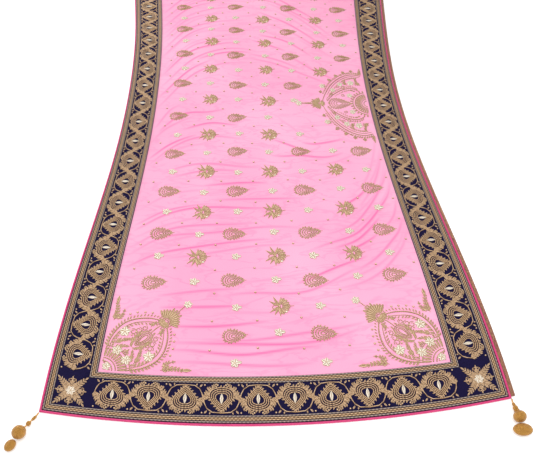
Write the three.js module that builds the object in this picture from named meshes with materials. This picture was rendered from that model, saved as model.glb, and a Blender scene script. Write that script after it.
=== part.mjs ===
// A bridal dupatta: a long net stole laid open on a flat surface, with an embroidered velvet border, a piped
// edge, a beaded edging down one long side and a gold tassel on each of the two near corners.
// Millimetres, +Z up. +X runs across the cloth, +Y along it, away from the end with the tassels.
// Every cloth piece is drawn on the flat cut (u across, v along, both from its middle) and then laid by lay().
import * as THREE from 'three';

// ---- Driving dimensions ----
const CUT_WIDTH = 1000;       // across the net, without its piping
const CUT_LENGTH = 2108;      // along the net, corner to corner
const NET = 1.2;              // walls
const VELVET = 2;
const BORDER_WIDTH = 105;
const PIPING = 5;             // diameter
const EDGING_REACH = 9;       // beads and loops outside the piping
const EDGING_THICK = 3;
const GAP = 0.3;              // between pieces that touch

// How the cloth lies: drawn in across its middle, eased along there, its ends bowed, its rows a little askew
const WAIST = 0.139;
const EASE = 63, EASE_REACH = 400;
const BOW = 47;
const ASKEW = 0.08, ASKEW_AT = 250, ASKEW_REACH = 360;

const HALF_W = CUT_WIDTH / 2;
const HALF_L = CUT_LENGTH / 2;
const MITRE = GAP / Math.SQRT2;   // each border strip stops this short of its mitre line

// The largest folds, soft ridges in the net: middle of the ridge on the cut, its turn from across the cloth,
// half its length and half its width, and how far the net stands off the surface along it
const FOLDS = [
  { u: 60, v: 520, turn: 12, run: 300, spread: 75, rise: 3.0 },
  { u: -190, v: 330, turn: 48, run: 250, spread: 70, rise: 2.5 },
  { u: 170, v: 210, turn: -24, run: 220, spread: 60, rise: 2.5 },
  { u: -150, v: -260, turn: 14, run: 230, spread: 60, rise: 2.0 },
  { u: 290, v: -380, turn: 52, run: 190, spread: 55, rise: 3.0 },
  { u: -40, v: -620, turn: 8, run: 300, spread: 65, rise: 2.5 },
  { u: 110, v: -800, turn: 10, run: 260, spread: 60, rise: 2.0 },
  { u: 20, v: 850, turn: -10, run: 280, spread: 65, rise: 2.5 },
  { u: -260, v: 700, turn: -40, run: 180, spread: 60, rise: 2.0 },
];

const MATERIALS = {
  net: new THREE.MeshStandardMaterial({ color: 0xf7adc9, roughness: 0.75, metalness: 0 }),
  velvet: new THREE.MeshStandardMaterial({ color: 0x1a1440, roughness: 0.9, metalness: 0 }),
  satin: new THREE.MeshStandardMaterial({ color: 0xd8246f, roughness: 0.45, metalness: 0 }),
  beads: new THREE.MeshStandardMaterial({ color: 0xb08c62, roughness: 0.4, metalness: 0.6 }),
  gold: new THREE.MeshStandardMaterial({ color: 0xd8a24a, roughness: 0.3, metalness: 0.9 }),
};

// ---- Where the cloth lies ----
// The laid place of a point of the cut
function lay(u, v) {
  const t = THREE.MathUtils.clamp(v / HALF_L, -1, 1);
  const narrow = 1 - WAIST * Math.cos(Math.PI * t / 2) ** 2;
  const ease = EASE * Math.tanh(v / EASE_REACH);
  const bow = BOW * (1 - (u / HALF_W) ** 2) * t * Math.abs(t);
  const askew = ASKEW * Math.exp(-(((v - ASKEW_AT) / ASKEW_REACH) ** 2)) * u;
  return { x: u * narrow, y: v + ease + bow - askew };
}

// How far the net stands off the surface at a point of the cut: a cosine hump across each fold, fading at its
// ends, and no fold under the border
function offSurface(u, v) {
  let height = 0;
  for (const fold of FOLDS) {
    const turn = THREE.MathUtils.degToRad(fold.turn);
    const du = u - fold.u, dv = v - fold.v;
    const along = (du * Math.cos(turn) + dv * Math.sin(turn)) / fold.run;
    const across = (dv * Math.cos(turn) - du * Math.sin(turn)) / fold.spread;
    if (Math.abs(along) < 1 && Math.abs(across) < 1) {
      const hump = Math.cos(Math.PI * along / 2) * Math.cos(Math.PI * across / 2) ** 2;
      height = Math.max(height, fold.rise * hump);
    }
  }
  const inside = Math.min(HALF_W - Math.abs(u), HALF_L - Math.abs(v)) - BORDER_WIDTH;
  return height * THREE.MathUtils.smoothstep(inside, 0, BORDER_WIDTH);
}

// ---- Builders ----
function closedMesh(name, material, points, faces) {
  const geometry = new THREE.BufferGeometry();
  geometry.setAttribute('position', new THREE.Float32BufferAttribute(points.flat(), 3));
  geometry.setIndex(faces.flat());
  geometry.computeVertexNormals();
  const mesh = new THREE.Mesh(geometry, material);
  mesh.name = name;
  return mesh;
}

// A cloth wall over a grid of the cut: cutPoint(i, j) gives {u, v}, with u growing with i and v with j
function wall(name, material, columns, rows, cutPoint, lift, thickness) {
  const points = [], faces = [];
  const layer = (columns + 1) * (rows + 1);
  for (const top of [0, 1]) {
    for (let j = 0; j <= rows; j++) {
      for (let i = 0; i <= columns; i++) {
        const { u, v } = cutPoint(i / columns, j / rows);
        const { x, y } = lay(u, v);
        points.push([x, y, offSurface(u, v) + lift + top * thickness]);
      }
    }
  }
  const at = (i, j, top) => top * layer + j * (columns + 1) + i;
  const quad = (a, b, c, d) => faces.push([a, b, c], [a, c, d]);
  for (let j = 0; j < rows; j++) {
    for (let i = 0; i < columns; i++) {
      quad(at(i, j, 1), at(i + 1, j, 1), at(i + 1, j + 1, 1), at(i, j + 1, 1));
      quad(at(i, j, 0), at(i, j + 1, 0), at(i + 1, j + 1, 0), at(i + 1, j, 0));
    }
  }
  for (let i = 0; i < columns; i++) {
    quad(at(i, 0, 0), at(i + 1, 0, 0), at(i + 1, 0, 1), at(i, 0, 1));
    quad(at(i + 1, rows, 0), at(i, rows, 0), at(i, rows, 1), at(i + 1, rows, 1));
  }
  for (let j = 0; j < rows; j++) {
    quad(at(0, j + 1, 0), at(0, j, 0), at(0, j, 1), at(0, j + 1, 1));
    quad(at(columns, j, 0), at(columns, j + 1, 0), at(columns, j + 1, 1), at(columns, j, 1));
  }
  return closedMesh(name, material, points, faces);
}

// A round cord along an edge of the cut: cutPoint(t, out) gives the point of the edge at t, moved out by out
function piping(name, steps, cutPoint, handed) {
  const SIDES = 8, radius = PIPING / 2;
  const points = [], faces = [];
  for (let k = 0; k <= steps; k++) {
    for (let s = 0; s < SIDES; s++) {
      const angle = handed * 2 * Math.PI * s / SIDES;
      const { u, v } = cutPoint(k / steps, radius * Math.cos(angle));
      const { x, y } = lay(u, v);
      points.push([x, y, radius + radius * Math.sin(angle)]);
    }
  }
  for (let k = 0; k < steps; k++) {
    for (let s = 0; s < SIDES; s++) {
      const a = k * SIDES + s, b = k * SIDES + (s + 1) % SIDES;
      faces.push([a, b, b + SIDES], [a, b + SIDES, a + SIDES]);
    }
  }
  const last = steps * SIDES;
  for (let s = 1; s < SIDES - 1; s++) {
    faces.push([0, s + 1, s], [last, last + s, last + s + 1]);
  }
  return closedMesh(name, MATERIALS.satin, points, faces);
}

// ---- Cloth, piping and edging ----
const LONG_STEPS = 44, SHORT_STEPS = 18;
const pipeAt = HALF_W + GAP + PIPING / 2;          // the long pipings' centre line, u
const pipeEnd = HALF_L + GAP + PIPING;             // where they stop, v: level with the outside of the short ones
const cloth = new THREE.Group();

cloth.add(wall('field', MATERIALS.net, 20, LONG_STEPS,
  (a, b) => ({ u: HALF_W * (2 * a - 1), v: HALF_L * (2 * b - 1) }), 0, NET));

for (const [name, side] of [['left', -1], ['right', 1]]) {
  cloth.add(wall(`border_${name}`, MATERIALS.velvet, 2, LONG_STEPS, (a, b) => {
    const inward = BORDER_WIDTH * (side < 0 ? a : 1 - a);
    return { u: side * (HALF_W - inward), v: (HALF_L - inward - MITRE) * (2 * b - 1) };
  }, NET + GAP, VELVET));
  cloth.add(piping(`piping_${name}`, LONG_STEPS,
    (t, out) => ({ u: side * (pipeAt + out), v: pipeEnd * (2 * t - 1) }), -side));
}
for (const [name, end] of [['near', -1], ['far', 1]]) {
  cloth.add(wall(`border_${name}`, MATERIALS.velvet, SHORT_STEPS, 2, (a, b) => {
    const inward = BORDER_WIDTH * (end < 0 ? b : 1 - b);
    return { u: (HALF_W - inward - MITRE) * (2 * a - 1), v: end * (HALF_L - inward) };
  }, NET + GAP, VELVET));
  cloth.add(piping(`piping_${name}`, SHORT_STEPS,
    (t, out) => ({ u: HALF_W * (2 * t - 1), v: end * (HALF_L + GAP + PIPING / 2 + out) }), end));
}

const edgingFrom = HALF_W + GAP + PIPING + GAP;
cloth.add(wall('beaded_edging_right', MATERIALS.beads, 1, LONG_STEPS,
  (a, b) => ({ u: edgingFrom + EDGING_REACH * a, v: HALF_L * (2 * b - 1) }), 0, EDGING_THICK));

// ---- Tassels ----
// Each hangs on a string from a near corner of the piping and lies on the surface. Its frame: along it, to its
// left, and up. The string's points are [along, sway, height], one every 3 mm or so.
const STRING_RADIUS = 1.5;
const BORE = STRING_RADIUS + 0.5;
const TASSELS = {
  left: {
    side: -1, heading: 241,
    string: [[0.5, 0, 2.4], [3.5, 0.3, 2.3], [6.5, 0.6, 2.4], [10, 0.7, 2.8], [13, 0.6, 3.2], [16, 0.4, 3.6],
      [19, 0.2, 4.0], [22, 0, 4.5], [25, -0.1, 5.0], [28, -0.1, 5.6], [31, -0.1, 6.2], [34, 0, 6.8],
      [37, 0, 7.6], [40, 0, 8.5], [43, 0, 9.5]],
    beads: [
      { name: 'wrapped_bead', at: 15, length: 12, radius: 3.2 },
      { name: 'round_bead', at: 31, length: 10, radius: 5.4 },
    ],
    ball: { at: 58, lean: 17, length: 30, radius: 14.5 },
    drops: { at: 87, length: 27, across: 11, height: 8 },
  },
  right: {
    side: 1, heading: 271,
    string: [[0.5, 0, 2.4], [3.5, -0.3, 2.3], [6.5, -0.5, 2.5], [9, -0.6, 2.8], [11.5, -0.5, 3.3], [14, -0.4, 3.8],
      [16.5, -0.2, 4.3], [19, 0, 4.8], [21.5, 0, 5.3], [24, 0, 5.9], [26.5, 0, 6.5], [29, 0, 7.2],
      [31.5, 0, 7.9], [34, 0, 8.7], [36.5, 0, 9.6]],
    beads: [
      { name: 'small_bead', at: 14, length: 7, radius: 3.6 },
      { name: 'round_bead', at: 24, length: 11, radius: 5.8 },
      { name: 'cap_bead', at: 32.5, length: 4.5, radius: 6.5 },
    ],
    ball: { at: 48, lean: 17, length: 23.5, radius: 14 },
    drops: { at: 74.5, length: 28, across: 21, height: 8 },
  },
};

// A threaded bead: a round body about local +Y, with a bore through it
function bead(length, radius) {
  const half = length / 2, profile = [new THREE.Vector2(BORE, -half), new THREE.Vector2(BORE, half)];
  for (const angle of [60, 30, 0, -30, -60]) {
    const a = THREE.MathUtils.degToRad(angle);
    const out = BORE + (radius - BORE) * Math.cos(a);
    profile.push(new THREE.Vector2(out, half * Math.sin(a)));
  }
  profile.push(profile[0].clone());
  return new THREE.LatheGeometry(profile.reverse(), 14);
}

// A body with round ends about local +Y: the ball, or the space that the drops fill
function roundBody(length, radius, segments) {
  const profile = [];
  for (let angle = -90; angle <= 90; angle += 22.5) {
    const a = THREE.MathUtils.degToRad(angle);
    profile.push(new THREE.Vector2(Math.abs(angle) === 90 ? 0 : radius * Math.cos(a), length / 2 * Math.sin(a)));
  }
  return new THREE.LatheGeometry(profile, segments);
}

function tassel(name, spec) {
  const corner = lay(spec.side * HALF_W, -HALF_L);
  const reach = GAP + PIPING;
  const heading = THREE.MathUtils.degToRad(spec.heading);
  const group = new THREE.Group();
  group.position.set(corner.x + spec.side * reach, corner.y - reach, 0);
  group.rotation.z = heading;

  const add = (piece, geometry, material) => {
    const mesh = new THREE.Mesh(geometry, material);
    mesh.name = `tassel_${name}_${piece}`;
    group.add(mesh);
    return mesh;
  };
  const route = new THREE.CatmullRomCurve3(spec.string.map((p) => new THREE.Vector3(...p)));
  const section = new THREE.Shape();
  section.absarc(0, 0, STRING_RADIUS, 0, 2 * Math.PI);
  add('string', new THREE.ExtrudeGeometry(section, { steps: 14, curveSegments: 4, extrudePath: route }), MATERIALS.gold);

  for (const item of spec.beads) {
    const share = routeShare(route, item.at);
    const mesh = add(item.name, bead(item.length, item.radius), MATERIALS.gold);
    mesh.position.copy(route.getPoint(share));
    mesh.quaternion.setFromUnitVectors(new THREE.Vector3(0, 1, 0), route.getTangent(share));
  }
  const ball = add('ball', roundBody(spec.ball.length, spec.ball.radius, 16), MATERIALS.gold);
  ball.position.set(spec.ball.at, 0, spec.ball.radius);
  ball.rotation.z = -Math.PI / 2;
  ball.rotation.y = -THREE.MathUtils.degToRad(spec.ball.lean);

  const drops = add('drops', roundBody(spec.drops.length, 1, 12), MATERIALS.gold);
  drops.scale.set(spec.drops.across, 1, spec.drops.height);
  drops.position.set(spec.drops.at, 0, spec.drops.height);
  drops.rotation.z = -Math.PI / 2;
  return group;
}

// The share of the route at a distance along the tassel
function routeShare(route, along) {
  let low = 0, high = 1;
  for (let i = 0; i < 30; i++) {
    const middle = (low + high) / 2;
    if (route.getPoint(middle).x < along) low = middle;
    else high = middle;
  }
  return low;
}

// ---- The whole part: its origin is under the middle of the cloth ----
const part = new THREE.Group();
part.add(cloth, tassel('left', TASSELS.left), tassel('right', TASSELS.right));
const box = new THREE.Box3().setFromObject(cloth);
part.position.set(-(box.min.x + box.max.x) / 2, -(box.min.y + box.max.y) / 2, -box.min.z);
part.updateMatrixWorld(true);

export default part;
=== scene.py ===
"""A bridal dupatta laid open on a flat surface: rose net with metal-thread embroidery, a navy velvet border,
magenta piping, a beaded edging down one long side and a gold tassel on each of the two near corners."""
import math
import random

import bpy
import numpy as np
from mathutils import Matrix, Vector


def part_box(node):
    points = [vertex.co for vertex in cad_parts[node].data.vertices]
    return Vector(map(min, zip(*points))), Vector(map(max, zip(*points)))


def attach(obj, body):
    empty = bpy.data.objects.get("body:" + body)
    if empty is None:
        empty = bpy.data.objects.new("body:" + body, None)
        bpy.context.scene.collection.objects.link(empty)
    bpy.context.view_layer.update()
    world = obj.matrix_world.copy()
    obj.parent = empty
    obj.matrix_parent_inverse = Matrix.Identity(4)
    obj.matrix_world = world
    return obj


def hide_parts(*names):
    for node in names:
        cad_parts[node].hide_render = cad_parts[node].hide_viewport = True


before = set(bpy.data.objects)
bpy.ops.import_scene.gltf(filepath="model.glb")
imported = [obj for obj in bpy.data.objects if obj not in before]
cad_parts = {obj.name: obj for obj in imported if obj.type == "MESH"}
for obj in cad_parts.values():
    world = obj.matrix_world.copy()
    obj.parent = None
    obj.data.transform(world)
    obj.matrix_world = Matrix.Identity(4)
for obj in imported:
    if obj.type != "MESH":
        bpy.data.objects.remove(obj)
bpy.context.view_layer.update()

# ---- Studio ----
# A near-white table under a broad soft light from above and a smaller one that rakes the cloth from the far
# left, so that creases and stitches show. The camera stands at the near end, about a person's height back.
CAMERA_BACK, CAMERA_SIDE, CAMERA_HEIGHT = 1.884, -0.0517, 1.339   # metres from the middle of the cloth
CAMERA_DOWN, CAMERA_TURN = math.radians(46.3), math.radians(1.84)
FOCAL_IN_WIDTHS = 700 / 533                                      # focal length over picture width


def colour(code):
    """An sRGB hex value such as C8A078 as linear red, green, blue and alpha."""
    parts = [int(code[i:i + 2], 16) / 255 for i in (0, 2, 4)]
    return tuple(c / 12.92 if c <= 0.04045 else ((c + 0.055) / 1.055) ** 2.4 for c in parts) + (1.0,)


def add(tree, kind, inputs=(), stops=(), **settings):
    """Adds a shader node. An input is a value or another node's output; stops are a ramp's."""
    made = tree.nodes.new("ShaderNode" + kind)
    for name, value in settings.items():
        setattr(made, name, value)
    for name, value in dict(inputs).items():
        if isinstance(value, bpy.types.NodeSocket):
            tree.links.new(value, made.inputs[name])
        else:
            made.inputs[name].default_value = value
    if stops:
        ramp = made.color_ramp.elements
        for element, (place, code) in zip(ramp, (stops[0], stops[-1])):
            element.position, element.color = place, colour(code)
        for place, code in stops[1:-1]:
            ramp.new(place).color = colour(code)
    return made


def finish_of(name, **sockets):
    """A new material, its node tree and its shader, with the shader's constant sockets set."""
    made = bpy.data.materials.new(name)
    made.use_nodes = True
    shader = made.node_tree.nodes["Principled BSDF"]
    for socket, value in sockets.items():
        shader.inputs[socket.replace("_", " ")].default_value = value
    return made, made.node_tree, shader


scene = bpy.context.scene
scene.view_settings.view_transform = "Standard"
world = bpy.data.worlds.new("studio")
scene.world = world
world.use_nodes = True
world.node_tree.nodes["Background"].inputs["Color"].default_value = (1, 1, 1, 1)
world.node_tree.nodes["Background"].inputs["Strength"].default_value = 0.62

for name, size, watts, place, aim in (
        ("overhead", 2.6, 42, (0.2, -1.3, 2.3), (0, -0.5, 0)),
        ("raking", 0.9, 30, (-1.7, 1.7, 1.1), (0, -0.1, 0)),
):
    lamp = bpy.data.lights.new(name, "AREA")
    lamp.size, lamp.energy = size, watts
    holder = bpy.data.objects.new(name, lamp)
    holder.location = place
    away = np.subtract(place, aim)
    tilt = math.atan2(math.hypot(away[0], away[1]), away[2])
    holder.rotation_euler = (tilt, 0, math.atan2(away[0], -away[1]))
    scene.collection.objects.link(holder)

camera = bpy.data.objects.new("camera", bpy.data.cameras.new("camera"))
camera.data.lens = camera.data.sensor_width * FOCAL_IN_WIDTHS
camera.data.clip_end = 50
camera.location = (CAMERA_SIDE, -CAMERA_BACK, CAMERA_HEIGHT)
camera.rotation_euler = (math.pi / 2 - CAMERA_DOWN, 0, -CAMERA_TURN)
scene.collection.objects.link(camera)
scene.camera = camera

table = bpy.data.meshes.new("table")
TABLE_HALF = 12.0
table.from_pydata([(x * TABLE_HALF, y * TABLE_HALF, -0.0004) for x, y in ((-1, -1), (1, -1), (1, 1), (-1, 1))],
                  [], [(0, 1, 2, 3)])
table_top = bpy.data.objects.new("table_top", table)
scene.collection.objects.link(table_top)
paint, _, paint_shader = finish_of("white_paint", Base_Color=colour("FDFDFD"), Roughness=0.9,
                                   Emission_Color=colour("FFFFFF"), Emission_Strength=0.22)
table.materials.append(paint)

# ---- How the cloth lies ----
# Every piece of cloth and embroidery is drawn on the flat cut, in millimetres from its middle: u across and v
# along, away from the tassels. The cloth lies drawn in across its middle and eased along there, its ends
# bowed and its rows a little askew.
MM = 0.001
HALF_W, HALF_L, BORDER = 500.0, 1054.0, 105.0
NET, GAP, VELVET, PIPING = 1.2, 0.3, 2.0, 5.0
WAIST, EASE, EASE_REACH, BOW = 0.139, 63.0, 400.0, 47.0
ASKEW, ASKEW_AT, ASKEW_REACH = 0.08, 250.0, 360.0
low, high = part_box("field")
MIDDLE = np.array([(low[0] + high[0]) / 2, (low[1] + high[1]) / 2]) / MM


def lay(u, v):
    """The laid place, in mm, of points of the cut."""
    u, v = np.asarray(u, float), np.asarray(v, float)
    t = np.clip(v / HALF_L, -1, 1)
    x = u * (1 - WAIST * np.cos(math.pi * t / 2) ** 2)
    y = v + EASE * np.tanh(v / EASE_REACH) + BOW * (1 - (u / HALF_W) ** 2) * t * np.abs(t)
    y = y - ASKEW * np.exp(-((v - ASKEW_AT) / ASKEW_REACH) ** 2) * u
    return x + MIDDLE[0], y + MIDDLE[1]


def curve(points, step):
    """A smooth line through a few points, as points about a step apart."""
    points = np.asarray(points, float)
    ends = np.vstack([2 * points[0] - points[1], points, 2 * points[-1] - points[-2]])
    line = []
    for a, b, c, d in zip(ends, ends[1:], ends[2:], ends[3:]):
        count = max(2, int(np.hypot(*(c - b)[:2]) / step))
        for t in np.arange(count) / count:
            line.append(0.5 * (2 * b + (c - a) * t + (2 * a - 5 * b + 4 * c - d) * t ** 2
                               + (3 * b - a - 3 * c + d) * t ** 3))
    line.append(points[-1])
    return np.array(line)


def shown(name, mesh, *materials):
    """The object of a finished mesh, smooth and in the scene, riding on the part."""
    made = bpy.data.objects.new(name, mesh)
    scene.collection.objects.link(made)
    mesh.polygons.foreach_set("use_smooth", [True] * len(mesh.polygons))
    for material in materials:
        mesh.materials.append(material)
    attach(made, "root")
    return made


# ---- Tassel strings ----
# Twisted gold cord, 3 mm thick, sewn into the piping's corner and knotted inside the tassel's ball. It is
# limp: it comes straight out of the corner, dips to the table and rises to the ball through the beads.
STRING_RADIUS = 1.5
STRING_SIDES, STRING_TWIST, STRING_GROOVE = 12, 7.0, 0.12     # twist: mm along for a full turn
TASSELS = {
    "left": dict(side=-1, heading=241, string=[
        (0.5, 0, 2.4), (3.5, 0.3, 2.3), (6.5, 0.6, 2.4), (10, 0.7, 2.8), (13, 0.6, 3.2), (16, 0.4, 3.6),
        (19, 0.2, 4.0), (22, 0, 4.5), (25, -0.1, 5.0), (28, -0.1, 5.6), (31, -0.1, 6.2), (34, 0, 6.8),
        (37, 0, 7.6), (40, 0, 8.5), (43, 0, 9.5)]),
    "right": dict(side=1, heading=271, string=[
        (0.5, 0, 2.4), (3.5, -0.3, 2.3), (6.5, -0.5, 2.5), (9, -0.6, 2.8), (11.5, -0.5, 3.3), (14, -0.4, 3.8),
        (16.5, -0.2, 4.3), (19, 0, 4.8), (21.5, 0, 5.3), (24, 0, 5.9), (26.5, 0, 6.5), (29, 0, 7.2),
        (31.5, 0, 7.9), (34, 0, 8.7), (36.5, 0, 9.6)]),
}


def tassel_place(side, heading, points):
    """Points (along, sway, height) of a tassel as places of the part, in mm."""
    x, y = lay(side * HALF_W, -HALF_L)
    turn = math.radians(heading)
    points = np.asarray(points, float)
    across = np.column_stack([points[:, 0] * math.cos(turn) - points[:, 1] * math.sin(turn),
                              points[:, 0] * math.sin(turn) + points[:, 1] * math.cos(turn)])
    corner = np.array([x + side * (GAP + PIPING), y - GAP - PIPING])
    return np.column_stack([across + corner, points[:, 2]])


def tube(line, radius_at, sides):
    """A closed tube about a line of points: radius_at(along, angle) in mm. Returns points and faces."""
    line = np.asarray(line, float)
    along = np.concatenate([[0], np.cumsum(np.linalg.norm(np.diff(line, axis=0), axis=1))])
    ahead = np.gradient(line, axis=0)
    ahead /= np.linalg.norm(ahead, axis=1)[:, None]
    side = np.cross(ahead, (0, 0, 1.0))
    side /= np.linalg.norm(side, axis=1)[:, None]
    up = np.cross(side, ahead)
    angles = np.arange(sides) * 2 * math.pi / sides
    points, faces = [], []
    for k, place in enumerate(line):
        for angle in angles:
            r = radius_at(along[k], angle)
            points.append(place + r * (math.cos(angle) * side[k] + math.sin(angle) * up[k]))
    for k in range(len(line) - 1):
        for s in range(sides):
            a, b = k * sides + s, k * sides + (s + 1) % sides
            faces.append((a, a + sides, b + sides, b))
    faces.append(tuple(range(sides)))
    faces.append(tuple(range((len(line) - 1) * sides, len(line) * sides))[::-1])
    return points, faces


def mesh_of(name, points, faces):
    """A mesh in metres from points in mm."""
    made = bpy.data.meshes.new(name)
    made.from_pydata((np.asarray(points) * MM).tolist(), [], faces)
    return made


gold_cord, tree, shader = finish_of("twisted_gold_cord", Metallic=0.55, Roughness=0.38)
# Metallised yarn: a random mottle of bright and dark gold, painted highlights on the strands and painted shade in
# the grooves between them
yarn_mottle = add(tree, "TexNoise", {"Scale": 900.0, "Detail": 2.0})
painted_strand_light = add(tree, "ValToRGB", {"Fac": yarn_mottle.outputs["Fac"]}, stops=[(0.3, "A9702F"), (0.7, "F0BE6A")])
tree.links.new(painted_strand_light.outputs["Color"], shader.inputs["Base Color"])

for name, tassel in TASSELS.items():
    route = curve(tassel_place(tassel["side"], tassel["heading"], tassel["string"]), 0.8)
    twist = tube(route, lambda s, a: STRING_RADIUS * (1 - STRING_GROOVE * math.cos(
        3 * (a + 2 * math.pi * s / STRING_TWIST))), STRING_SIDES)
    shown(f"tassel_{name}_cord", mesh_of(f"tassel_{name}_cord", *twist), gold_cord)
    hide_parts(f"tassel_{name}_string")

# ---- Field ----
# One length of soft net, rose pink, laid with its slack left in: broad low swells, and over them the sharp
# narrow creases it was folded and carried with. Along each crease its pink is painted deeper: partly the net
# doubling on itself, partly painted shade in the crease.
SWELLS = [   # as the solid has them: middle u and v, turn in degrees, half its length, half its width, rise
    (60, 520, 12, 300, 75, 3.0), (-190, 330, 48, 250, 70, 2.5), (170, 210, -24, 220, 60, 2.5),
    (-150, -260, 14, 230, 60, 2.0), (290, -380, 52, 190, 55, 3.0), (-40, -620, 8, 300, 65, 2.5),
    (110, -800, 10, 260, 60, 2.0), (20, 850, -10, 280, 65, 2.5), (-260, 700, -40, 180, 60, 2.0),
]
# Families of creases. Each runs from a first line to a last one, given at four places (u, v); count lines are
# spread between them, each showing only a part of its length; rise in mm
CREASES = [
    dict(first=[(-390, -70), (-250, 95), (-60, 150), (150, 60)],
         last=[(-392, 470), (-260, 620), (-40, 640), (200, 540)], count=17, rise=1.5),
    dict(first=[(-60, 170), (60, 150), (180, 90), (300, 20)],
         last=[(30, 640), (160, 520), (290, 380), (392, 260)], count=13, rise=1.6),
    dict(first=[(40, -60), (90, -125), (150, -180), (250, -150)],
         last=[(10, -320), (100, -310), (200, -300), (330, -260)], count=5, rise=1.2),
    dict(first=[(-388, -130), (-350, -60), (-280, -20), (-190, 0)],
         last=[(-388, -330), (-300, -260), (-180, -225), (0, -240)], count=7, rise=1.4),
    dict(first=[(-386, -350), (-290, -300), (-120, -290), (80, -310)],
         last=[(-386, -690), (-280, -630), (-60, -600), (160, -590)], count=14, rise=1.5),
    dict(first=[(388, -180), (350, -290), (290, -390), (190, -450)],
         last=[(393, -560), (350, -640), (230, -720), (20, -780)], count=15, rise=2.0),
    dict(first=[(-300, -700), (-100, -680), (80, -660), (230, -600)],
         last=[(-230, -935), (-60, -938), (120, -935), (280, -905)], count=10, rise=1.5),
    dict(first=[(-390, 560), (-200, 640), (60, 650), (300, 590)],
         last=[(-300, 930), (-80, 900), (120, 920), (330, 935)], count=15, rise=1.5),
    dict(first=[(390, 520), (340, 620), (270, 700), (160, 760)],
         last=[(393, 780), (330, 850), (240, 890), (60, 900)], count=8, rise=1.8),
]
CREASE_HALF, SHOULDER_HALF = 3.4, 13.0       # mm: the pinched line, and the soft slope beside it
FINE_COLUMNS, FINE_ROWS = 176, 470           # of the net inside the border, cells about 4.5 x 4 mm

grid_u = np.concatenate([[-HALF_W, -450], np.linspace(-(HALF_W - BORDER), HALF_W - BORDER, FINE_COLUMNS + 1),
                         [450, HALF_W]])
grid_v = np.concatenate([[-HALF_L, -1000], np.linspace(-(HALF_L - BORDER), HALF_L - BORDER, FINE_ROWS + 1),
                         [1000, HALF_L]])
U, V = np.meshgrid(grid_u, grid_v)


def smooth(x):
    x = np.clip(x, 0, 1)
    return x * x * (3 - 2 * x)


net_height = np.zeros_like(U)
for u, v, turn, run, spread, rise in SWELLS:
    turn = math.radians(turn)
    along = ((U - u) * math.cos(turn) + (V - v) * math.sin(turn)) / run
    across = ((V - v) * math.cos(turn) - (U - u) * math.sin(turn)) / spread
    hump = np.cos(np.clip(along, -1, 1) * math.pi / 2) * np.cos(np.clip(across, -1, 1) * math.pi / 2) ** 2
    net_height = np.maximum(net_height, rise * hump)
inside = np.minimum(HALF_W - np.abs(U), HALF_L - np.abs(V)) - BORDER
net_height *= smooth(inside / BORDER)

doubled = np.zeros_like(U)
dice = random.Random(11)
for family in CREASES:
    first, last = (curve(family[end], 12.0) for end in ("first", "last"))
    share = np.linspace(0, 1, 40)
    first, last = (np.column_stack([np.interp(share, np.linspace(0, 1, len(line)), line[:, axis])
                                    for axis in (0, 1)]) for line in (first, last))
    for k in range(family["count"]):
        place = (k + dice.uniform(0.1, 0.9)) / family["count"]
        start = dice.choice([0, 0, dice.uniform(0, 0.5)])
        stop = min(1, start + dice.uniform(0.35, 1.0))
        depth = dice.choice([1.0, 0.75, 0.55, 0.35])
        line = first + (last - first) * place
        line[:, 1] += dice.uniform(3, 7) * np.sin(share * dice.uniform(5, 12) + dice.uniform(0, 6))
        line = line[(share >= start) & (share <= stop)]
        run = len(line) - 1
        (u0, v0), (u1, v1) = line.min(axis=0) - 40, line.max(axis=0) + 40
        rows = slice(*np.searchsorted(grid_v, (v0, v1)))
        columns = slice(*np.searchsorted(grid_u, (u0, u1)))
        here = np.stack([U[rows, columns], V[rows, columns]], axis=-1)
        nearest = np.full(here.shape[:2], 1e9)
        fade = np.zeros(here.shape[:2])
        for i in range(run):
            a, b = line[i], line[i + 1]
            t = np.clip(((here - a) @ (b - a)) / ((b - a) @ (b - a)), 0, 1)
            gap = np.linalg.norm(here - a - t[..., None] * (b - a), axis=-1)
            closer = gap < nearest
            nearest = np.where(closer, gap, nearest)
            fade = np.where(closer, np.sin(math.pi * np.clip((i + t) / run, 0, 1)) ** 0.6, fade)
        pinch = depth * fade * np.exp(-(nearest / CREASE_HALF) ** 2)
        slope = depth * fade * np.exp(-(nearest / SHOULDER_HALF) ** 2)
        net_height[rows, columns] += family["rise"] * (0.65 * pinch + 0.35 * slope)
        # where the pink is painted deeper: partly the net doubling on itself, partly painted shade in the crease
        doubled[rows, columns] = np.maximum(doubled[rows, columns], pinch)
flat_at_seam = smooth((np.minimum(HALF_W - np.abs(U), HALF_L - np.abs(V)) - BORDER) / 12)
net_height *= flat_at_seam
net_height = np.minimum(net_height, 5.0)


def net_at(u, v):
    """The height in mm of the net's face over the table at points of the cut."""
    u, v = np.clip(u, -HALF_W, HALF_W - 0.01), np.clip(v, -HALF_L, HALF_L - 0.01)
    i = np.clip(np.searchsorted(grid_u, u, "right") - 1, 0, len(grid_u) - 2)
    j = np.clip(np.searchsorted(grid_v, v, "right") - 1, 0, len(grid_v) - 2)
    s = (u - grid_u[i]) / (grid_u[i + 1] - grid_u[i])
    t = (v - grid_v[j]) / (grid_v[j + 1] - grid_v[j])
    h = net_height
    nearer = (1 - s) * h[j, i] + s * h[j, i + 1]
    farther = (1 - s) * h[j + 1, i] + s * h[j + 1, i + 1]
    return NET + ((1 - t) * nearer + t * farther)


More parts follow.
